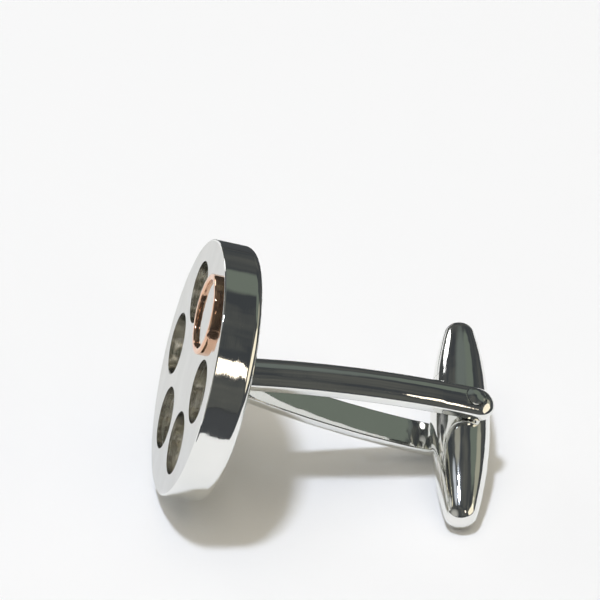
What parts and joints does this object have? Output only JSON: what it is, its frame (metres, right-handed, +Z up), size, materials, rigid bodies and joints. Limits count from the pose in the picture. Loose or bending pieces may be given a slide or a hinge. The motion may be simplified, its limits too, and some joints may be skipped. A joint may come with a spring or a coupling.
{
  "type": "cufflink",
  "caption": "Round drilled cufflink head with a rose-gold ring in one hole, an open fork post and a spindle toggle that swivels to pass through a cuff and lock it.",
  "frame": {"origin": "on the table below the middle of the part's bounding box, the part lying on the rim of its head, the tip of its lower arm and one end of its toggle", "axes": "+Z up from the table, +X from the head towards the toggle"},
  "size_m": [0.024, 0.018, 0.0179],
  "materials": {
    "rhodium_plate": "polished",
    "rose_gold_plate": "polished",
    "spring_steel": "satin"
  },
  "bodies": {
    "head": {"head_disc": "rhodium_plate", "accent_ring": "rose_gold_plate", "accent_plug": "rhodium_plate", "post_foot": "rhodium_plate", "upper_arm": "rhodium_plate", "lower_arm": "rhodium_plate", "pivot_pin": "rhodium_plate"},
    "toggle": {"toggle_body": "rhodium_plate", "spring_cover": "rhodium_plate", "detent_spring": "spring_steel"}
  },
  "joints": [
    {"name": "toggle_swivel", "type": "hinge", "parent": "head", "child": "toggle", "pos_m": [0.00967, 0, 0.0034], "axis": [0.2824, -0.3038, 0.9099], "continuous": true}
  ]
}
